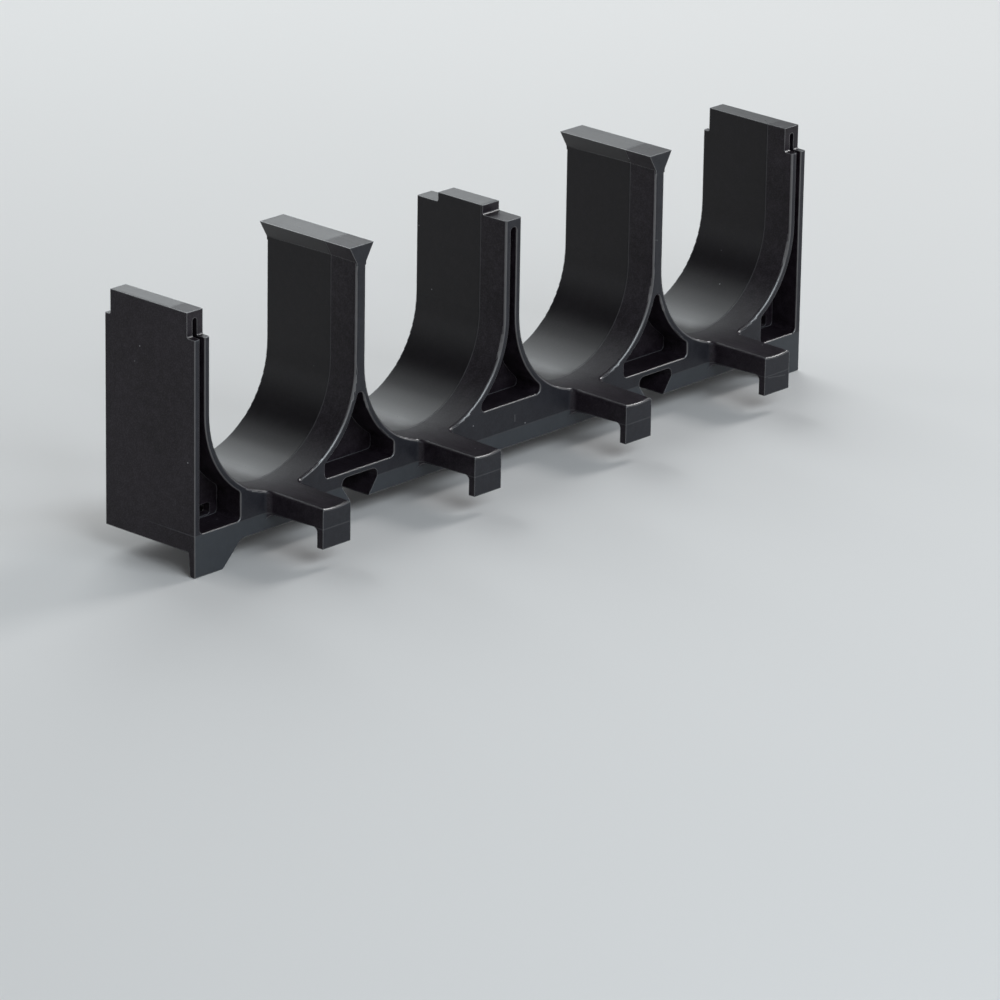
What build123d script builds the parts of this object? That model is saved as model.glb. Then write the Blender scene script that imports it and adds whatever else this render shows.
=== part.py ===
from build123d import *
from math import radians, sqrt, tan
import os

os.makedirs("parts", exist_ok=True)

# Stackable cable spacer, a comb moulded in one piece.
# X runs along the comb, -Y is the front, where the strap arms reach out, and Z is up.
# The origin is the middle of the seat, the underside that lies on the rung.

# Driving dimensions of the comb, in millimetres and degrees
trough_width = 57.2
trough_bottom = 11.0
end_wall = 6.0
rail_rib = 4.0
centre_rib = 6.6
depth = 35.4
stack_pitch = 69.4

# The mould's parting plane lies behind the front face, and the troughs open from it both ways
parting_setback = 9.9
trough_draft = 0.6

# Pockets in front of and behind one upright web
flange = 2.15
web = 2.6
web_setback = 9.3
pocket_draft = 0.8
pocket_corner = 1.5
pocket_edge = 0.5
end_skin = 2.05
end_pocket_width = 15.75
end_pocket_floor = 5.4
end_groove_top = 67.4
rail_pocket_width = 27.8
rail_pocket_floor = 9.2
rail_pocket_apex = 1.2
centre_pocket_side = 2.5
centre_pocket_floor = 13.4
centre_groove_top = 66.2

# End tenons, and the lips that hang in front of the end tenons of the comb below
lip_drop = 7.2
lip_root = 2.7
lip_tip = 2.1
lip_length = 11.0
lip_slope = 45.0
lip_corner = 0.9
lip_root_fillet = 3.5
lip_edge = 0.8
lip_clearance = 0.4
lip_gap = 0.1
end_back_setback = 2.3
tenon_fillet = 0.6

# Centre tenon, and the recess in the seat that drops over the centre tenon of the comb below
centre_shoulder_gap = 0.7
centre_tenon_rise = 2.1
centre_front_setback = 9.2
centre_back_setback = 8.5
recess_clearance = 0.5

# Dovetail heads on two ribs, and the sockets in the base that slide over such heads
head_rise = 5.6
head_height = 4.8
head_width = 9.55
head_fillet = 1.0
socket_side_clearance = 1.6
socket_top_clearance = 2.1
socket_flank = 35.0
socket_corner = 2.0

# Strap arms with a hooked tip
arm_length = 20.8
arm_root_width = 11.7
arm_taper = 1.1
arm_underside = 4.7
arm_rise = 2.0
arm_fillet = 2.0
hook = 2.2
hook_drop = 0.6
hook_fillet = 1.5

# Slots through the web at the end pockets, for the ties that hold the comb to the rung
tie_slot_width = 10.0
tie_slot_height = 3.4
tie_slot_lift = 0.6
tie_slot_corner = 0.8

# Roundings of the trough edges and of the outer corners
front_round = 0.9
back_round = 0.5
corner_round = 0.4

# Places that follow from the sizes above
trough_radius = trough_width / 2
trough_centre = trough_bottom + trough_radius
flange_radius = trough_radius + flange
inner_trough_x = (centre_rib + trough_width) / 2
rail_x = (centre_rib + rail_rib) / 2 + trough_width
outer_trough_x = rail_x + (rail_rib + trough_width) / 2
half_length = outer_trough_x + trough_radius + end_wall
front = -depth / 2
back = depth / 2
parting = front + parting_setback
web_front = front + web_setback
web_back = web_front + web
arm_tip = front - arm_length
end_shoulder = stack_pitch - lip_drop - lip_gap
centre_shoulder = stack_pitch - centre_shoulder_gap
centre_tenon_top = stack_pitch + centre_tenon_rise
head_top = stack_pitch + head_rise

# Upright planes, in which a sketch keeps the directions of X and Z and faces the front
front_plane = Plane.XZ.offset(-front)
parting_plane = Plane.XZ.offset(-parting)
web_plane = Plane.XZ.offset(-web_front)
back_plane = Plane.XZ.offset(-back)

# Where the troughs, the dovetail ribs and their sockets stand along the comb
trough_places = [-outer_trough_x, -inner_trough_x, inner_trough_x, outer_trough_x]
rail_places = [-rail_x, rail_x]


def near_any(x, places, reach):
    """Whether x lies within reach of one of the places."""
    return any(abs(x - place) < reach for place in places)


def round_low_corners(outline):
    """Round the corners of a pocket outline that lie well under the trough centres."""
    low = outline.vertices().filter_by_position(Axis.Y, 0, trough_centre - trough_radius / 2)
    fillet(low, pocket_corner)


def end_pocket():
    """The pocket beside the left end wall, and the groove that runs up inside the wall."""
    groove = end_wall - flange - end_skin
    skin_x = end_skin - half_length
    arch_centre = end_groove_top - groove / 2
    with BuildSketch() as outline:
        with Locations((skin_x, end_pocket_floor)):
            Rectangle(end_pocket_width, trough_centre - end_pocket_floor, align=(Align.MIN, Align.MIN))
        with Locations((-outer_trough_x, trough_centre)):
            Circle(flange_radius, mode=Mode.SUBTRACT)
        with Locations((skin_x, trough_centre)):
            Rectangle(groove, arch_centre - trough_centre, align=(Align.MIN, Align.MIN))
        with Locations((skin_x + groove / 2, arch_centre)):
            Circle(groove / 2)
        round_low_corners(outline)
    return outline.sketch


def rail_pocket():
    """The pocket under a dovetail rib, whose two curved sides close in an arch."""
    with BuildSketch() as outline:
        with Locations((0, rail_pocket_floor)):
            Rectangle(rail_pocket_width, trough_centre - rail_pocket_floor, align=(Align.CENTER, Align.MIN))
        with Locations((rail_rib / 2 + trough_radius, trough_centre)):
            Circle(flange_radius, mode=Mode.SUBTRACT)
        mirror(about=Plane.YZ, mode=Mode.INTERSECT)
        fillet(outline.vertices().group_by(Axis.Y)[-1], rail_pocket_apex)
        round_low_corners(outline)
    return outline.sketch


def centre_pocket():
    """The pocket in the centre rib, and the groove with a round top that it narrows into."""
    groove = centre_rib - 2 * flange
    flange_reach = sqrt(flange_radius ** 2 - (trough_centre - centre_pocket_floor - centre_pocket_side) ** 2)
    width = 2 * (inner_trough_x - flange_reach)
    arch_centre = centre_groove_top - groove / 2
    with BuildSketch() as outline:
        with Locations((0, centre_pocket_floor)):
            Rectangle(width, trough_centre - centre_pocket_floor, align=(Align.CENTER, Align.MIN))
        with Locations((-inner_trough_x, trough_centre), (inner_trough_x, trough_centre)):
            Circle(flange_radius, mode=Mode.SUBTRACT)
        with Locations((0, trough_centre)):
            Rectangle(groove, arch_centre - trough_centre, align=(Align.CENTER, Align.MIN))
        with Locations((0, arch_centre)):
            Circle(groove / 2)
        round_low_corners(outline)
    return outline.sketch


def face_pockets():
    """All the pockets of one face of the comb."""
    with BuildSketch() as outline:
        add(end_pocket())
        with Locations((-rail_x, 0)):
            add(rail_pocket())
        mirror(about=Plane.YZ)
        add(centre_pocket())
    return outline.sketch


def tenon_waste(shoulder, top, front_setback, back_setback):
    """What is cut from the top of a rib, seen from the side, to leave a tenon between shoulders."""
    tenon = depth - front_setback - back_setback
    with BuildSketch() as outline:
        with Locations((0, shoulder)):
            Rectangle(depth, head_top, align=(Align.CENTER, Align.MIN))
        with Locations((front + front_setback, shoulder)):
            Rectangle(tenon, top - shoulder, align=(Align.MIN, Align.MIN), mode=Mode.SUBTRACT)
        tenon_feet = outline.vertices().group_by(Axis.Y)[0].sort_by(Axis.X)[1:-1]
        fillet(tenon_feet, tenon_fillet)
    return outline.sketch


def dovetail_head():
    """The section of a dovetail head, on a neck as thin as the drafted rib at its back."""
    flank = head_height / ((head_width - rail_rib) / 2)
    neck_half = rail_rib / 2 + (parting_setback - (back - parting)) * tan(radians(trough_draft))
    neck = head_top - (head_width / 2 - neck_half) * flank
    with BuildSketch() as outline:
        with BuildLine():
            half_head = Polyline(
                (0, head_top),
                (head_width / 2, head_top),
                (neck_half, neck),
                (neck_half, neck - head_fillet),
                (0, neck - head_fillet),
            )
            mirror(half_head, about=Plane.YZ)
        make_face()
        fillet(outline.vertices().group_by(Axis.Y)[1], head_fillet)
    return outline.sketch


# Outlines that are worked out once
pocket_outlines = face_pockets()
end_waste = tenon_waste(end_shoulder, stack_pitch, lip_root + lip_clearance, end_back_setback)
centre_waste = tenon_waste(centre_shoulder, centre_tenon_top, centre_front_setback, centre_back_setback)
head_outline = dovetail_head()

# Strap arm: its side view, with the rising underside and the hook, narrowed by its plan
with BuildPart() as arm:
    with BuildSketch(Plane.YZ) as arm_side:
        hook_root = (arm_tip + hook, arm_underside + (arm_length - hook) * tan(radians(arm_rise)))
        with BuildLine():
            Polyline(
                (parting, trough_centre),
                (arm_tip, trough_centre),
                (arm_tip, -hook_drop),
                (arm_tip + hook, -hook_drop),
                hook_root,
                (front, arm_underside),
                (parting, arm_underside),
                close=True,
            )
        make_face()
        fillet(arm_side.vertices().sort_by_distance(hook_root)[0], hook_fillet)
    extrude(amount=arm_root_width, both=True)
    with BuildSketch(Plane.XY):
        with BuildLine():
            half_plan = Polyline(
                (0, parting),
                (arm_root_width / 2, parting),
                (arm_root_width / 2, front),
                (arm_root_width / 2 - arm_length * tan(radians(arm_taper)), arm_tip),
                (0, arm_tip),
            )
            mirror(half_plan, about=Plane.YZ)
        make_face()
    extrude(amount=head_top, both=True, mode=Mode.INTERSECT)

# Lip under the left end, drawn from the outer face: its front view thinned by its side view
with BuildPart() as lip:
    with BuildSketch(front_plane) as lip_front:
        lip_toe = (lip_length, -lip_drop)
        slope_top = (lip_length + lip_drop / tan(radians(lip_slope)), 0)
        run_out = slope_top[0] + lip_root_fillet
        with BuildLine():
            Polyline(
                (0, lip_root),
                (0, -lip_drop),
                lip_toe,
                slope_top,
                (run_out, 0),
                (run_out, lip_root),
                close=True,
            )
        make_face()
        fillet(lip_front.vertices().sort_by_distance(lip_toe)[0], lip_corner)
        fillet(lip_front.vertices().sort_by_distance(slope_top)[0], lip_root_fillet)
    extrude(amount=-lip_root)
    with BuildSketch(Plane.YZ) as lip_side:
        lip_foot = (front + lip_tip, -lip_drop)
        with BuildLine():
            Polyline(
                (front, lip_root),
                (front, -lip_drop),
                lip_foot,
                (front + lip_root, 0),
                (front + lip_root, lip_root),
                close=True,
            )
        make_face()
        fillet(lip_side.vertices().sort_by_distance(lip_foot)[0], lip_edge)
    extrude(amount=half_length, mode=Mode.INTERSECT)

with BuildPart() as cable_spacer:
    # A block as high as the centre tenon, with the raw arms in front of it
    with BuildSketch(Plane.XY):
        Rectangle(2 * half_length, depth)
    extrude(amount=centre_tenon_top)
    with Locations(*[(x, 0, 0) for x in trough_places]):
        add(arm.part)

    # Troughs, narrowest at the parting plane, which also shape the tops of the arms
    parting_radius = trough_radius - parting_setback * tan(radians(trough_draft))
    for cut in (parting - arm_tip + hook, parting - back - hook):
        with BuildSketch(parting_plane):
            with Locations(*[(x, trough_centre) for x in trough_places]):
                Circle(parting_radius)
                Rectangle(2 * parting_radius, head_top, align=(Align.CENTER, Align.MIN))
        extrude(amount=cut, taper=-trough_draft, mode=Mode.SUBTRACT)

    # Fillets where the arms grow out of the front face
    front_face = cable_spacer.faces().filter_by(Axis.Y).filter_by_position(Axis.Y, front - 0.01, front + 0.01)[0]
    arm_feet = front_face.outer_wire().edges().filter_by(
        lambda edge: near_any(edge.center().X, trough_places, arm_root_width / 2 + 0.01)
        and arm_underside - 0.01 < edge.center().Z < trough_bottom
    )
    fillet(arm_feet, arm_fillet)

    # Rounded edges of the troughs, in front with the tops of the arms, and at the back
    rims = cable_spacer.edges().filter_by(
        lambda edge: near_any(edge.center().X, trough_places, trough_radius + 0.5)
        and trough_bottom - 0.5 < edge.center().Z < centre_tenon_top - 0.5
        and abs(edge.center().Z - trough_centre) > 0.5
    )
    fillet(rims.filter_by_position(Axis.Y, arm_tip - 0.01, front + 0.01), front_round)
    rims = cable_spacer.edges().filter_by_position(Axis.Y, back - 0.01, back + 0.01).filter_by(
        lambda edge: near_any(edge.center().X, trough_places, trough_radius + 0.5)
        and trough_bottom - 0.5 < edge.center().Z < centre_tenon_top - 0.5
    )
    fillet(rims, back_round)

    # Pockets from both faces down to the web, and the rounded mouths of the front ones
    with BuildSketch(front_plane):
        add(pocket_outlines)
    extrude(amount=front - web_front, taper=pocket_draft, mode=Mode.SUBTRACT)
    with BuildSketch(back_plane):
        add(pocket_outlines)
    extrude(amount=back - web_back, taper=pocket_draft, mode=Mode.SUBTRACT)
    front_face = cable_spacer.faces().filter_by(Axis.Y).filter_by_position(Axis.Y, front - 0.01, front + 0.01)[0]
    mouths = ShapeList(edge for mouth in front_face.inner_wires() for edge in mouth.edges())
    fillet(mouths, pocket_edge)

    # Tenons with their shoulders on the end walls and on the centre rib
    for end in (-1, 1):
        with BuildSketch(Plane.YZ.offset(end * half_length)):
            add(end_waste)
        extrude(amount=-end * (end_wall + trough_radius), mode=Mode.SUBTRACT)
    with BuildSketch(Plane.YZ):
        add(centre_waste)
    extrude(amount=centre_rib, both=True, mode=Mode.SUBTRACT)

    # Dovetail heads on their ribs
    with BuildSketch(front_plane):
        with Locations(*[(x, 0) for x in rail_places]):
            add(head_outline)
    extrude(amount=-depth)

    # Sockets under the dovetail ribs, and the recess for the centre tenon
    socket_height = head_rise + socket_top_clearance
    socket_width = rail_rib + 2 * (socket_side_clearance + socket_height * tan(radians(socket_flank)))
    with BuildSketch(front_plane) as sockets:
        with Locations(*[(x, 0) for x in rail_places]):
            Trapezoid(
                socket_width,
                socket_height,
                90 - socket_flank,
                rotation=180,
                align=(Align.CENTER, Align.MAX),
            )
        fillet(sockets.vertices().group_by(Axis.Y)[-1], socket_corner)
    extrude(amount=-depth, mode=Mode.SUBTRACT)
    with BuildSketch(Plane.XY):
        with Locations((0, (centre_front_setback - centre_back_setback) / 2)):
            Rectangle(
                centre_rib + 2 * recess_clearance,
                depth - centre_front_setback - centre_back_setback + 2 * recess_clearance,
            )
    extrude(amount=centre_tenon_rise + recess_clearance, mode=Mode.SUBTRACT)

    # Tie slots through the web, just above the floors of the end pockets
    slot_x = half_length - end_skin - end_pocket_width / 2
    with BuildSketch(web_plane):
        with Locations(*[(x, end_pocket_floor + tie_slot_lift) for x in (-slot_x, slot_x)]):
            RectangleRounded(tie_slot_width, tie_slot_height, tie_slot_corner, align=(Align.CENTER, Align.MIN))
    extrude(amount=-web, mode=Mode.SUBTRACT)

    # Lips under both ends
    with Locations((-half_length, 0, 0)):
        add(lip.part)
    mirror(lip.part.moved(Location((-half_length, 0, 0))), about=Plane.YZ)

    # Softened upright corners at the ends, and the lower front edge with the lips
    corners = cable_spacer.edges().filter_by(Axis.Z).filter_by(
        lambda edge: abs(edge.center().X) > half_length - 0.01 and abs(edge.center().Y) > back - 0.01
    )
    fillet(corners, corner_round)
    lower_edge = cable_spacer.edges().filter_by_position(Axis.Y, front - 0.01, front + 0.01).filter_by(
        lambda edge: edge.center().Z < 0.5
    )
    fillet(lower_edge, corner_round)

cable_spacer.part.label = "cable_spacer"
export_step(cable_spacer.part, "parts/cable_spacer.step")
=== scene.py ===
"""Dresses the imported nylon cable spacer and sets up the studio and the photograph's camera."""

import logging
from dataclasses import dataclass, field
from enum import Enum

import bpy
from mathutils import Matrix, Vector


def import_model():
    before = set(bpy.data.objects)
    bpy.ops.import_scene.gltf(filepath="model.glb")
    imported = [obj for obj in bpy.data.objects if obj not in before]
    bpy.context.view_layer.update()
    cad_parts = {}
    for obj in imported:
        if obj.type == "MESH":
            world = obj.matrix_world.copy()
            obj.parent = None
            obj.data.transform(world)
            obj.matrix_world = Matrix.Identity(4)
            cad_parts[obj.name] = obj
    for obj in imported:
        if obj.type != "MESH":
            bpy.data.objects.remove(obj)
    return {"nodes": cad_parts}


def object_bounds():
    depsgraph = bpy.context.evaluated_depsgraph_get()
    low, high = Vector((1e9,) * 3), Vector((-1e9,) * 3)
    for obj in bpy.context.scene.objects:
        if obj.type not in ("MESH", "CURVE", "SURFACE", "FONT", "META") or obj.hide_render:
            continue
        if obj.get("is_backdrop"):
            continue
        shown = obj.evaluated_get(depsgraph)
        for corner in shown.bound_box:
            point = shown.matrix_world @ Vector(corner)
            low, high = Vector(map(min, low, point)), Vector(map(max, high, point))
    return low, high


MM = 0.001
SPACER_NODE = "cable_spacer"
SPACER_SLOT = "nylon"

# The places of a colour Mix node's sockets, which share their names with those for numbers.
MIX_FACTOR, MIX_LOW, MIX_HIGH, MIX_RESULT = 0, 6, 7, 2

Pair = tuple[float, float]
Triple = tuple[float, float, float]
Rgba = tuple[float, float, float, float]

log = logging.getLogger("cable_spacer_scene")


class Axis(Enum):
    """An axis of the part's frame: along the comb, from front to back, and up."""

    X = 0
    Y = 1
    Z = 2


def rgba(colour: Triple) -> Rgba:
    """Returns the colour with full opacity."""
    return (*colour, 1.0)


class Signal:
    """One number in a shader, so that the maths on it reads as a plain expression."""

    def __init__(self, graph: "Graph", socket: bpy.types.NodeSocket) -> None:
        """Wraps an output socket.

        Args:
            graph: The graph that the socket's node is in.
            socket: An output socket that gives one number.
        """
        self.graph = graph
        self.socket = socket

    def _math(self, operation: str, left: "Signal | float", right: "Signal | float") -> "Signal":
        """Adds a Math node.

        Args:
            operation: The node's operation.
            left: Its first value.
            right: Its second value.

        Returns:
            The result.
        """
        node = self.graph.add("ShaderNodeMath", {"operation": operation}, {0: left, 1: right})
        return Signal(self.graph, node.outputs[0])

    def __add__(self, other: "Signal | float") -> "Signal":
        """Returns self + other."""
        return self._math("ADD", self, other)

    def __radd__(self, other: "Signal | float") -> "Signal":
        """Returns other + self."""
        return self._math("ADD", other, self)

    def __sub__(self, other: "Signal | float") -> "Signal":
        """Returns self - other."""
        return self._math("SUBTRACT", self, other)

    def __rsub__(self, other: "Signal | float") -> "Signal":
        """Returns other - self."""
        return self._math("SUBTRACT", other, self)

    def __mul__(self, other: "Signal | float") -> "Signal":
        """Returns self * other."""
        return self._math("MULTIPLY", self, other)

    def __rmul__(self, other: "Signal | float") -> "Signal":
        """Returns other * self."""
        return self._math("MULTIPLY", other, self)

    def __abs__(self) -> "Signal":
        """Returns the value without its sign."""
        return self._math("ABSOLUTE", self, 0.0)

    def at_most(self, other: "Signal | float") -> "Signal":
        """Returns the smaller of the two."""
        return self._math("MINIMUM", self, other)

    def at_least(self, other: "Signal | float") -> "Signal":
        """Returns the larger of the two."""
        return self._math("MAXIMUM", self, other)

    def ramp(self, start: float, end: float, low: float = 0.0, high: float = 1.0) -> "Signal":
        """Eases from low to high as the value goes from start to end.

        Args:
            start: The value where the result is low.
            end: The value where the result is high.
            low: The result at the start and before it.
            high: The result at the end and past it.

        Returns:
            The eased result.
        """
        node = self.graph.add(
            "ShaderNodeMapRange",
            {"interpolation_type": "SMOOTHSTEP", "clamp": True},
            {"Value": self, "From Min": start, "From Max": end, "To Min": low, "To Max": high},
        )
        return Signal(self.graph, node.outputs["Result"])

    def near(self, centre: float, half_width: float, blur: float) -> "Signal":
        """Gives 1 within half_width of the centre, and eases to 0 over the blur past it.

        Args:
            centre: The middle of the band.
            half_width: Half the band's width.
            blur: The width of each soft edge.

        Returns:
            The band as a mask.
        """
        return abs(self - centre).ramp(half_width, half_width + blur, 1.0, 0.0)


class Graph:
    """The nodes of one material or of the world."""

    def __init__(self, owner: bpy.types.Material | bpy.types.World) -> None:
        """Empties the owner's nodes.

        Args:
            owner: The material or world.
        """
        owner.use_nodes = True
        self.tree = owner.node_tree
        self.tree.nodes.clear()

    def add(self, kind: str, settings: dict[str, object] | None = None,
            inputs: dict[str | int, object] | None = None) -> bpy.types.Node:
        """Adds a node, sets it up and joins its inputs.

        Args:
            kind: The node's type.
            settings: Properties of the node, which are set first.
            inputs: Values, signals or output sockets for its input sockets, by name or place.

        Returns:
            The new node.
        """
        node = self.tree.nodes.new(kind)
        for name, value in (settings or {}).items():
            setattr(node, name, value)
        for name, value in (inputs or {}).items():
            source = value.socket if isinstance(value, Signal) else value
            if isinstance(source, bpy.types.NodeSocket):
                self.tree.links.new(source, node.inputs[name])
            else:
                node.inputs[name].default_value = source
        return node

    def parts(self, vector: bpy.types.NodeSocket) -> dict[Axis, Signal]:
        """Splits a vector.

        Args:
            vector: The vector.

        Returns:
            Its three numbers.
        """
        split = self.add("ShaderNodeSeparateXYZ", None, {0: vector})
        return {axis: Signal(self, split.outputs[axis.value]) for axis in Axis}

    def mix_colour(self, factor: Signal, low: bpy.types.NodeSocket | Rgba,
                   high: bpy.types.NodeSocket | Rgba) -> bpy.types.NodeSocket:
        """Blends two colours.

        Args:
            factor: How much of the second colour there is.
            low: The first colour, or a socket that gives it.
            high: The second colour, or a socket that gives it.

        Returns:
            The blended colour.
        """
        node = self.add(
            "ShaderNodeMix", {"data_type": "RGBA"},
            {MIX_FACTOR: factor, MIX_LOW: low, MIX_HIGH: high},
        )
        return node.outputs[MIX_RESULT]


@dataclass(frozen=True)
class Spot:
    """The spot that a material shades: where it is, in metres, and how far it faces each way."""

    graph: Graph
    vector: bpy.types.NodeSocket
    place: dict[Axis, Signal]
    turn: dict[Axis, Signal]

    @classmethod
    def read(cls, graph: Graph) -> "Spot":
        """Reads the spot.

        Args:
            graph: The material's nodes.

        Returns:
            The spot.
        """
        vector = graph.add("ShaderNodeTexCoord").outputs["Object"]
        normal = graph.add("ShaderNodeNewGeometry").outputs["True Normal"]
        turn = {axis: abs(part) for axis, part in graph.parts(normal).items()}
        return cls(graph, vector, graph.parts(vector), turn)


@dataclass(frozen=True)
class Unevenness:
    """A cloudy unevenness: the size of its blotches along each axis, in metres, and its layers."""

    pitch: Triple
    detail: float
    sharpness: float

    def read(self, graph: Graph, vector: bpy.types.NodeSocket) -> Signal:
        """Reads the unevenness.

        Args:
            graph: The material's nodes.
            vector: The place that it is read at.

        Returns:
            The unevenness, about 0.5 on average.
        """
        scale = tuple(1.0 / pitch for pitch in self.pitch)
        scaled = graph.add(
            "ShaderNodeVectorMath", {"operation": "MULTIPLY"}, {0: vector, 1: scale},
        )
        node = graph.add("ShaderNodeTexNoise", {"noise_dimensions": "3D"}, {
            "Vector": scaled.outputs[0],
            "Scale": 1.0,
            "Detail": self.detail,
            "Roughness": self.sharpness,
        })
        return Signal(graph, node.outputs[0])


@dataclass(frozen=True)
class Tint:
    """A colour over the body: its least share, and how much more of it the mottle brings."""

    colour: Triple
    least: float = 1.0
    swing: float = 0.0

    def over(self, body: bpy.types.NodeSocket, mask: Signal,
             mottle: Signal) -> bpy.types.NodeSocket:
        """Lays the tint over the body.

        Args:
            body: The body's colour.
            mask: Where the tint lies.
            mottle: The mottle.

        Returns:
            The tinted colour.
        """
        share = mask * (self.least + self.swing * mottle)
        return mask.graph.mix_colour(share, body, rgba(self.colour))


@dataclass(frozen=True)
class Scratch:
    """A short straight mark on a face, given by its two ends and its half width in millimetres."""

    start: Triple
    end: Triple
    half_width: float

    def mask(self, spot: Spot) -> Signal:
        """Finds the mark.

        Args:
            spot: The spot that is shaded.

        Returns:
            A mask that is 1 on the mark.
        """
        graph = spot.graph
        start = Vector(self.start) * MM
        run = Vector(self.end) * MM - start
        offset = graph.add(
            "ShaderNodeVectorMath", {"operation": "SUBTRACT"}, {0: spot.vector, 1: start},
        ).outputs[0]
        along = graph.add(
            "ShaderNodeVectorMath", {"operation": "DOT_PRODUCT"},
            {0: offset, 1: run / run.length_squared},
        )
        share = Signal(graph, along.outputs["Value"]).at_least(0.0).at_most(1.0)
        foot = graph.add(
            "ShaderNodeVectorMath", {"operation": "SCALE"}, {0: run, "Scale": share},
        )
        gap = graph.add(
            "ShaderNodeVectorMath", {"operation": "DISTANCE"}, {0: offset, 1: foot.outputs[0]},
        )
        reach = self.half_width * MM
        return Signal(graph, gap.outputs["Value"]).ramp(reach, 2.0 * reach, 1.0, 0.0)


@dataclass(frozen=True)
class MouldedNylon:
    """Black nylon from a fine-grained mould, satin outside and polished in the troughs."""

    name: str = "moulded_black_nylon"

    # Where the regions of the comb lie.
    parting: float = -7.8 * MM
    face_reach: float = 17.7 * MM
    arm_feet: float = -18.8 * MM
    arm_foot_reach: float = 1.0 * MM
    arm_foot_blur: float = 0.05 * MM
    arms_past_face: Pair = (2.0 * MM, 1.0 * MM)
    trough_floor: float = 10.9 * MM
    end_face: float = 127.4 * MM
    plate_line: float = 5.2 * MM
    seam_blur: float = 0.2 * MM
    floor_blur: float = 0.4 * MM
    wall_blur: float = 0.3 * MM
    end_blur: float = 0.1 * MM
    skin_depths: Pair = (0.8 * MM, 0.3 * MM)

    # How far a face looks to the front or up, from where a region begins to where it is full.
    skin_turn: Pair = (0.80, 0.97)
    trough_turn: Pair = (0.30, 0.12)
    rim_turn_in: Pair = (0.97, 0.90)
    rim_turn_out: Pair = (0.15, 0.35)
    top_turn: Pair = (0.90, 0.99)
    upright_turn: Pair = (0.30, 0.10)

    # The unevenness of the nylon, and how much of the paler colour each layer brings.
    grain: Unevenness = Unevenness((0.45 * MM, 0.45 * MM, 0.45 * MM), 3.0, 0.60)
    mottle: Unevenness = Unevenness((2.4 * MM, 2.4 * MM, 2.4 * MM), 3.0, 0.62)
    cloud: Unevenness = Unevenness((17.0 * MM, 17.0 * MM, 17.0 * MM), 2.0, 0.50)
    streak: Unevenness = Unevenness((1.1 * MM, 1.1 * MM, 22.0 * MM), 2.0, 0.55)
    top_streak: Unevenness = Unevenness((0.7 * MM, 30.0 * MM, 30.0 * MM), 2.0, 0.60)
    grain_range: Pair = (0.40, 0.68)
    grain_share: float = 0.45
    mottle_range: Pair = (0.38, 0.72)
    mottle_share: float = 0.30
    cloud_range: Pair = (0.35, 0.65)
    cloud_share: float = 0.15

    # The colours.
    colour: Triple = (0.0050, 0.0024, 0.0048)
    pale_colour: Triple = (0.0335, 0.0270, 0.0350)
    trough_tint: Tint = Tint((0.0040, 0.0028, 0.0040), 0.8)
    # Painted reflection: the front and back faces are paler and bluish, standing in for the bright
    # surroundings that they mirror.
    front_reflection_tint: Tint = Tint((0.0215, 0.0245, 0.0300), 0.40, 0.40)
    # Painted reflection: the lip and plate below the plate's line are paler again, standing in for
    # the lit floor in front that they mirror.
    low_reflection_tint: Tint = Tint((0.0440, 0.0490, 0.0560), 0.65, 0.50)
    # Partly wear, partly painted highlight: the edges are paler, most where they face up to the
    # lamps.
    edge_wear_and_highlight_tint: Tint = Tint((0.150, 0.157, 0.170), 0.45, 0.20)
    line_tint: Tint = Tint((0.075, 0.075, 0.080), 0.40, 0.60)
    speck_tint: Tint = Tint((0.22, 0.22, 0.23))

    # The gloss of each region, and how much each layer of unevenness moves it.
    gloss_level: float = 0.25
    front_roughness: float = 0.40
    trough_roughness: float = 0.31
    band_roughness: float = 0.45
    end_roughness: float = 0.52
    rim_roughness: float = 0.28
    burnish_roughness: float = 0.35
    burnish_ior: float = 2.05
    mottle_swing: float = 0.176
    streak_swing: float = 0.112
    cloud_swing: float = 0.080
    top_streak_swing: float = 0.256
    trough_calm: float = 0.6
    burnish_calm: float = 0.8

    # The relief of the grain, in metres, and the rest as shares of it.
    grain_height: float = 0.012 * MM
    mottle_relief: float = 1.4
    line_depth: float = 4.0

    # The edges: their rounding, and a paler colour on them that is partly wear and partly a
    # painted highlight, strongest where an edge faces up.
    edge_radius: float = 0.42 * MM
    edge_samples: int = 6
    edge_bend: Pair = (0.998, 0.93)
    upward_range: Pair = (0.05, 0.50)
    upward_least: float = 0.3

    # The fine lines and the specks.
    line_half_width: float = 0.08 * MM
    line_blur: float = 0.14 * MM
    parting_strength: float = 0.8
    plate_line_strength: float = 0.7
    plate_line_fade: Pair = (-16.0 * MM, 8.0 * MM)
    speck_pitch: float = 5.2 * MM
    speck_size: Pair = (0.055, 0.030)
    speck_choice: Unevenness = Unevenness((8.84 * MM, 8.84 * MM, 8.84 * MM), 0.0, 0.50)
    speck_choice_range: Pair = (0.60, 0.66)
    scratches: tuple[Scratch, ...] = (
        Scratch((58.5, -17.7, 50.6), (60.3, -17.7, 49.0), 0.10),
        Scratch((60.3, -17.7, 49.0), (62.1, -17.7, 48.6), 0.10),
        Scratch((1.65, -17.7, 9.2), (1.7, -17.7, 7.4), 0.14),
        Scratch((89.2, -38.5, 4.7), (96.9, -38.5, 3.8), 0.08),
    )

    def material(self) -> bpy.types.Material:
        """Builds the finish.

        Returns:
            The material.
        """
        material = bpy.data.materials.new(self.name)
        graph = Graph(material)
        spot = Spot.read(graph)
        grain = self.grain.read(graph, spot.vector)
        mottle = self.mottle.read(graph, spot.vector)
        cloud = self.cloud.read(graph, spot.vector)
        lines = self._lines(spot)
        edge, upward, rounded = self._edges(graph)
        burnish = self._rims(spot).at_least(edge)
        trough = self._trough(spot)
        calm = 1.0 - self.trough_calm * trough
        steady = 1.0 - self.burnish_calm * burnish

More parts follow.
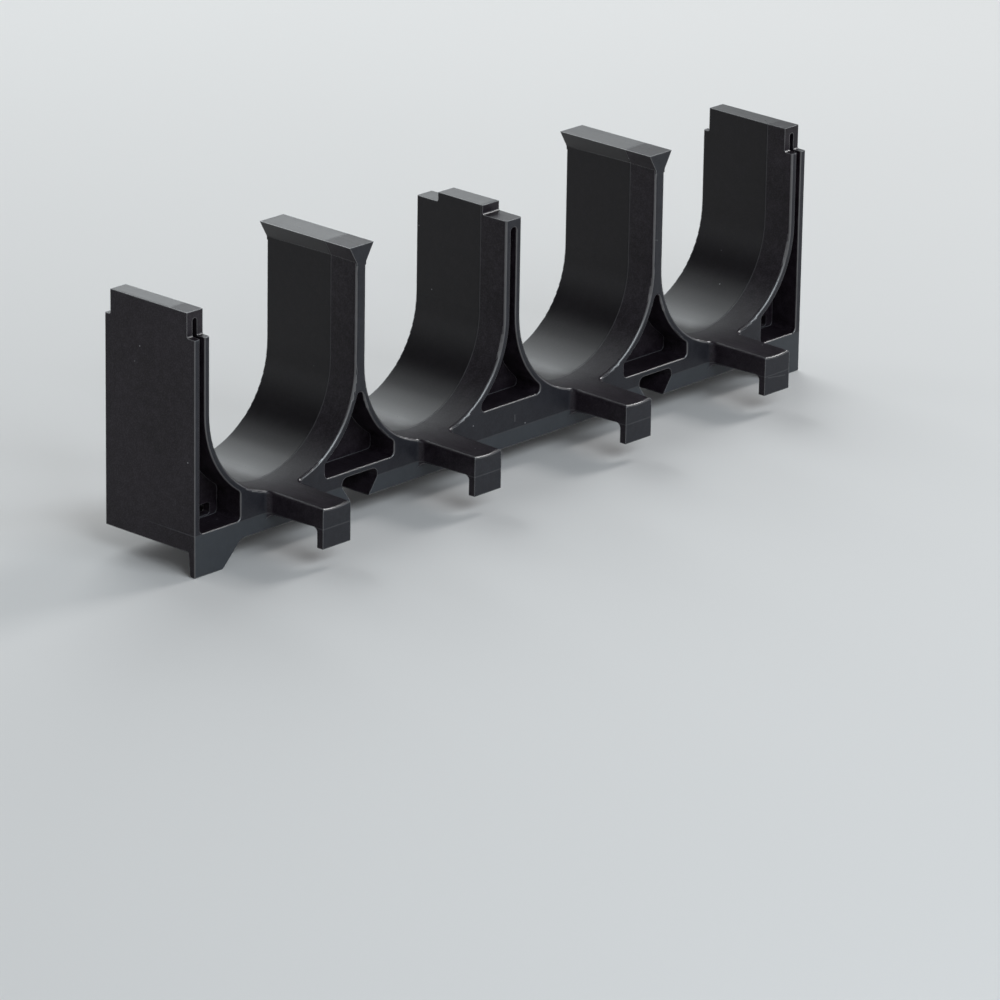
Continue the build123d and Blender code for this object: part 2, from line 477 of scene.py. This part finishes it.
        paleness = (
            grain.ramp(*self.grain_range) * self.grain_share
            + mottle.ramp(*self.mottle_range) * self.mottle_share
            + cloud.ramp(*self.cloud_range) * self.cloud_share
        )
        body = graph.mix_colour(paleness, rgba(self.colour), rgba(self.pale_colour))
        body = self.trough_tint.over(body, trough * self._behind_parting(spot), mottle)
        skin, low_skin = self._skins(spot)
        # Painted reflection: the front and back faces are paler and bluish.
        body = self.front_reflection_tint.over(body, skin, mottle)
        # Painted reflection: the lip and plate are paler still.
        body = self.low_reflection_tint.over(body, low_skin, mottle)
        # Partly wear, partly painted highlight on the edges, strongest where they face up.
        body = self.edge_wear_and_highlight_tint.over(body, edge * upward, mottle)
        body = self.line_tint.over(body, lines, mottle)
        body = self.speck_tint.over(body, self._specks(spot), mottle)

        level = self._region_roughness(spot)
        level = level + (self.rim_roughness - level) * burnish
        roughness = level + self._gloss_swing(spot, mottle, cloud) * calm * steady
        relief = (grain + mottle * self.mottle_relief) * calm * steady - lines * self.line_depth
        bump = graph.add("ShaderNodeBump", None, {
            "Strength": 1.0,
            "Distance": self.grain_height,
            "Height": relief,
            "Normal": rounded,
        })
        shader = graph.add("ShaderNodeBsdfPrincipled", None, {
            "Base Color": body,
            "Roughness": roughness,
            "Normal": bump.outputs["Normal"],
            "Specular IOR Level": self.gloss_level,
            "Coat Weight": burnish,
            "Coat Roughness": self.burnish_roughness,
            "Coat IOR": self.burnish_ior,
        })
        graph.add("ShaderNodeOutputMaterial", None, {"Surface": shader.outputs[0]})
        return material

    def _edges(self, graph: Graph) -> tuple[Signal, Signal, bpy.types.NodeSocket]:
        """Finds the edges, which are painted paler: partly wear, partly a painted highlight.

        Args:
            graph: The material's nodes.

        Returns:
            A mask that is 1 on an edge, how far the edge looks up (which makes the painted
            highlight stronger), and the normal that rounds it.
        """
        rounded = graph.add(
            "ShaderNodeBevel", {"samples": self.edge_samples}, {"Radius": self.edge_radius},
        ).outputs[0]
        flat = graph.add("ShaderNodeNewGeometry").outputs["Normal"]
        bend = graph.add(
            "ShaderNodeVectorMath", {"operation": "DOT_PRODUCT"}, {0: rounded, 1: flat},
        )
        edge = Signal(graph, bend.outputs["Value"]).ramp(*self.edge_bend)
        upward = graph.parts(rounded)[Axis.Z].ramp(*self.upward_range, self.upward_least, 1.0)
        return edge, upward, rounded

    def _rims(self, spot: Spot) -> Signal:
        """Finds the rounded rims in front and at the back, without the feet of the arms.

        Args:
            spot: The spot that is shaded.

        Returns:
            A mask that is 1 on the rims.
        """
        front = spot.turn[Axis.Y]
        feet = spot.place[Axis.Y].near(self.arm_feet, self.arm_foot_reach, self.arm_foot_blur)
        return front.ramp(*self.rim_turn_in) * front.ramp(*self.rim_turn_out) * (1.0 - feet)

    def _trough(self, spot: Spot) -> Signal:
        """Finds the walls and bottoms of the troughs.

        Args:
            spot: The spot that is shaded.

        Returns:
            A mask that is 1 in the troughs.
        """
        above = spot.place[Axis.Z].ramp(self.trough_floor - self.floor_blur, self.trough_floor)
        within = abs(spot.place[Axis.X]).ramp(self.end_face, self.end_face - self.wall_blur)
        return spot.turn[Axis.Y].ramp(*self.trough_turn) * above * within

    def _behind_parting(self, spot: Spot) -> Signal:
        """Returns a mask that is 1 behind the parting line."""
        blur = self.seam_blur
        return spot.place[Axis.Y].ramp(self.parting - blur, self.parting + blur)

    def _skins(self, spot: Spot) -> tuple[Signal, Signal]:
        """Finds the flat front and back of the comb and the fronts of the arms, whose paler colour
        is a painted reflection.

        Args:
            spot: The spot that is shaded.

        Returns:
            A mask of them all, and one of the part below the plate's line, without the arms, where
            the painted reflection is paler still.
        """
        depth = abs(spot.place[Axis.Y])
        outside = depth.ramp(*(self.face_reach - inset for inset in self.skin_depths))
        skin = spot.turn[Axis.Y].ramp(*self.skin_turn) * outside
        low = spot.place[Axis.Z].ramp(self.plate_line, self.plate_line - self.seam_blur)
        armless = depth.ramp(*(self.face_reach + past for past in self.arms_past_face))
        return skin, skin * low * armless

    def _region_roughness(self, spot: Spot) -> Signal:
        """Tells apart the polished troughs, their satin front band and the grained end faces.

        Args:
            spot: The spot that is shaded.

        Returns:
            The roughness of the region.
        """
        polish = self.trough_roughness - self.band_roughness
        wall = self.band_roughness + polish * self._behind_parting(spot)
        level = self.front_roughness + (wall - self.front_roughness) * self._trough(spot)
        end = abs(spot.place[Axis.X]).ramp(self.end_face - self.end_blur, self.end_face)
        return level + (self.end_roughness - level) * end

    def _gloss_swing(self, spot: Spot, mottle: Signal, cloud: Signal) -> Signal:
        """Works out how the unevenness moves the roughness.

        Args:
            spot: The spot that is shaded.
            mottle: The mottle.
            cloud: The cloud.

        Returns:
            The change in roughness, about 0 on average.
        """
        streak = self.streak.read(spot.graph, spot.vector)
        top_streak = self.top_streak.read(spot.graph, spot.vector)
        return (
            (mottle - 0.5) * self.mottle_swing
            + (streak - 0.5) * self.streak_swing
            + (cloud - 0.5) * self.cloud_swing
            + (top_streak - 0.5) * spot.turn[Axis.Z].ramp(*self.top_turn) * self.top_streak_swing
        )

    def _lines(self, spot: Spot) -> Signal:
        """Finds the fine lines: the parting in the troughs, the plate's line, and scratches.

        Args:
            spot: The spot that is shaded.

        Returns:
            A mask that is 1 on the lines.
        """
        width = (self.line_half_width, self.line_blur)
        parting = spot.place[Axis.Y].near(self.parting, *width) * self._trough(spot)
        plate_line = spot.place[Axis.Z].near(self.plate_line, *width)
        upright = spot.turn[Axis.Z].ramp(*self.upright_turn)
        fading = spot.place[Axis.Y].ramp(*self.plate_line_fade, 1.0, 0.0)
        lines = parting * self.parting_strength
        lines = lines.at_least(plate_line * upright * fading * self.plate_line_strength)
        for scratch in self.scratches:
            lines = lines.at_least(scratch.mask(spot))
        return lines

    def _specks(self, spot: Spot) -> Signal:
        """Scatters a few pale specks of dust.

        Args:
            spot: The spot that is shaded.

        Returns:
            A mask of the specks.
        """
        cells = spot.graph.add(
            "ShaderNodeTexVoronoi", {"feature": "F1"},
            {"Vector": spot.vector, "Scale": 1.0 / self.speck_pitch},
        )
        near = Signal(spot.graph, cells.outputs["Distance"]).ramp(*self.speck_size)
        choice = self.speck_choice.read(spot.graph, spot.vector)
        return near * choice.ramp(*self.speck_choice_range)


@dataclass(frozen=True)
class PaleFloor:
    """The matt paint of the floor, which looks as pale far away as it does under the lamps."""

    name: str = "pale_floor"
    colour: Triple = (0.80, 0.79, 0.78)
    tone: Unevenness = Unevenness((0.35, 0.35, 0.35), 2.0, 0.50)
    tone_range: Pair = (0.3, 0.7)
    tone_share: float = 0.985
    far_colour: Triple = (0.75, 0.78, 0.79)
    far_range: Pair = (0.5, 1.7)
    roughness: float = 0.9
    gloss_level: float = 0.2

    def material(self) -> bpy.types.Material:
        """Builds the finish.

        Returns:
            The material.
        """
        material = bpy.data.materials.new(self.name)
        graph = Graph(material)
        vector = graph.add("ShaderNodeTexCoord").outputs["Object"]
        tone = self.tone.read(graph, vector).ramp(*self.tone_range)
        darker = tuple(channel * self.tone_share for channel in self.colour)
        paint = graph.add("ShaderNodeBsdfPrincipled", None, {
            "Base Color": graph.mix_colour(tone, rgba(darker), rgba(self.colour)),
            "Roughness": self.roughness,
            "Specular IOR Level": self.gloss_level,
        })
        glow = graph.add(
            "ShaderNodeEmission", None, {"Color": rgba(self.far_colour), "Strength": 1.0},
        )
        reach = graph.add("ShaderNodeVectorMath", {"operation": "LENGTH"}, {0: vector})
        far = Signal(graph, reach.outputs["Value"]).ramp(*self.far_range)
        surface = graph.add("ShaderNodeMixShader", None, {
            0: far * self._seen(graph),
            1: paint.outputs[0],
            2: glow.outputs[0],
        })
        graph.add("ShaderNodeOutputMaterial", None, {"Surface": surface.outputs[0]})
        return material

    @staticmethod
    def _seen(graph: Graph) -> Signal:
        """Tells the rays that show the floor from those that only light the object.

        Args:
            graph: The material's nodes.

        Returns:
            1 where the floor is seen, also in gloss and through glass.
        """
        rays = graph.add("ShaderNodeLightPath").outputs
        camera, gloss, glass = (
            Signal(graph, rays[name])
            for name in ("Is Camera Ray", "Is Glossy Ray", "Is Transmission Ray")
        )
        return camera.at_least(gloss).at_least(glass)


@dataclass
class CableSpacer:
    """The comb itself, one moulding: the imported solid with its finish."""

    node: str = SPACER_NODE
    slot: str = SPACER_SLOT
    finish: MouldedNylon = field(default_factory=MouldedNylon)

    def dress(self, nodes: dict[str, bpy.types.Object]) -> bpy.types.Object:
        """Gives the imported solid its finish.

        Args:
            nodes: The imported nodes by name.

        Returns:
            The dressed object.
        """
        comb = nodes[self.node]
        material = self.finish.material()
        for slot in comb.material_slots:
            slot.material = material
        return comb


@dataclass(frozen=True)
class Softbox:
    """A soft lamp: where it stands and what it points at, its size in metres and its power."""

    name: str
    place: Triple
    aim: Triple
    width: float
    height: float
    power: float
    colour: Triple = (1.0, 1.0, 1.0)

    def light(self) -> bpy.types.Object:
        """Makes the lamp.

        Returns:
            The lamp.
        """
        data = bpy.data.lights.new(self.name, "AREA")
        data.shape = "RECTANGLE"
        data.size, data.size_y = self.width, self.height
        data.energy = self.power
        data.color = self.colour
        lamp = bpy.data.objects.new(self.name, data)
        bpy.context.scene.collection.objects.link(lamp)
        lamp.location = self.place
        direction = Vector(self.aim) - Vector(self.place)
        lamp.rotation_euler = direction.to_track_quat("-Z", "Y").to_euler()
        lamp.visible_camera = False
        return lamp


@dataclass
class Studio:
    """The pale floor, the sky and the lamps."""

    floor_reach: float = 3.0
    sky_colour: Triple = (0.93, 0.97, 1.0)
    horizon_strength: float = 0.9
    zenith_strength: float = 0.1
    haze_heights: Pair = (0.0, 0.6)
    paint: PaleFloor = field(default_factory=PaleFloor)
    lamps: tuple[Softbox, ...] = (
        Softbox("back_panel", place=(0.557, 0.892, 0.78), aim=(0.0, 0.0, 0.03),
                width=0.9, height=0.7, power=6.6, colour=(0.93, 0.98, 1.0)),
        Softbox("back_fill", place=(-0.08, 0.90, 0.94), aim=(0.0, 0.0, 0.03),
                width=0.6, height=0.6, power=1.5, colour=(0.93, 0.98, 1.0)),
        Softbox("front_panel", place=(-0.18, -1.01, 0.80), aim=(0.0, 0.0, 0.03),
                width=1.1, height=0.42, power=8.0, colour=(0.86, 0.94, 1.0)),
        Softbox("right_key", place=(0.95, -0.18, 0.87), aim=(0.0, 0.0, 0.02),
                width=0.36, height=0.36, power=3.8),
    )

    def build(self, floor_height: float) -> list[bpy.types.Object]:
        """Makes the floor, the lamps and the sky.

        Args:
            floor_height: The height of the floor, in metres.

        Returns:
            The floor and the lamps.
        """
        floor = self._floor(floor_height)
        self._sky()
        return [floor, *(lamp.light() for lamp in self.lamps)]

    def _floor(self, height: float) -> bpy.types.Object:
        """Makes the floor.

        Args:
            height: Its height, in metres.

        Returns:
            The floor.
        """
        reach = self.floor_reach
        mesh = bpy.data.meshes.new("floor")
        signs = ((-1, -1), (1, -1), (1, 1), (-1, 1))
        vertices = [(x * reach, y * reach, height) for x, y in signs]
        mesh.from_pydata(vertices, [], [tuple(range(len(vertices)))])
        mesh.materials.append(self.paint.material())
        floor = bpy.data.objects.new("floor", mesh)
        bpy.context.scene.collection.objects.link(floor)
        floor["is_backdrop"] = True
        return floor

    def _sky(self) -> None:
        """Makes the sky, which is bright near the horizon and dim above."""
        world = bpy.data.worlds.new("sky")
        graph = Graph(world)
        direction = graph.add("ShaderNodeTexCoord").outputs["Generated"]
        height = graph.parts(direction)[Axis.Z]
        strength = height.ramp(*self.haze_heights, self.horizon_strength, self.zenith_strength)
        background = graph.add(
            "ShaderNodeBackground", None, {"Color": rgba(self.sky_colour), "Strength": strength},
        )
        graph.add("ShaderNodeOutputWorld", None, {"Surface": background.outputs[0]})
        bpy.context.scene.world = world


@dataclass(frozen=True)
class PhotoCamera:
    """The photograph's camera, as fitted to the part's own edges."""

    eye: Triple = (-1.37380, -1.28062, 0.65751)
    forward: Triple = (0.69146996, 0.63757632, -0.33965539)
    right: Triple = (0.68182281, -0.73135945, 0.01519924)
    sensor: float = 36.0
    focal_pixels: float = 6864.5
    image_pixels: float = 1000.0
    clip: Pair = (0.05, 20.0)

    def build(self) -> bpy.types.Object:
        """Makes the scene's camera.

        Returns:
            The camera.
        """
        data = bpy.data.cameras.new("photo_camera")
        data.sensor_fit = "HORIZONTAL"
        data.sensor_width = self.sensor
        data.lens = self.focal_pixels * self.sensor / self.image_pixels
        data.clip_start, data.clip_end = self.clip
        camera = bpy.data.objects.new("photo_camera", data)
        bpy.context.scene.collection.objects.link(camera)
        forward = Vector(self.forward).normalized()
        right = Vector(self.right)
        right = (right - right.dot(forward) * forward).normalized()
        up = right.cross(forward)
        turn = Matrix((right, up, -forward)).transposed()
        camera.matrix_world = Matrix.Translation(self.eye) @ turn.to_4x4()
        bpy.context.scene.camera = camera
        return camera


def main() -> None:
    """Builds the scene piece by piece."""
    logging.basicConfig(level=logging.INFO, format="%(message)s")
    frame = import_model()
    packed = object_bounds()
    bpy.context.scene.view_settings.view_transform = "Standard"
    comb = CableSpacer().dress(frame["nodes"])
    log.info("%s: dressed with %s", comb.name, comb.material_slots[0].material.name)
    for piece in Studio().build(packed[0].z):
        log.info("%s: placed", piece.name)
    log.info("%s: placed", PhotoCamera().build().name)
    bpy.context.view_layer.update()


if __name__ == "__main__":
    main()
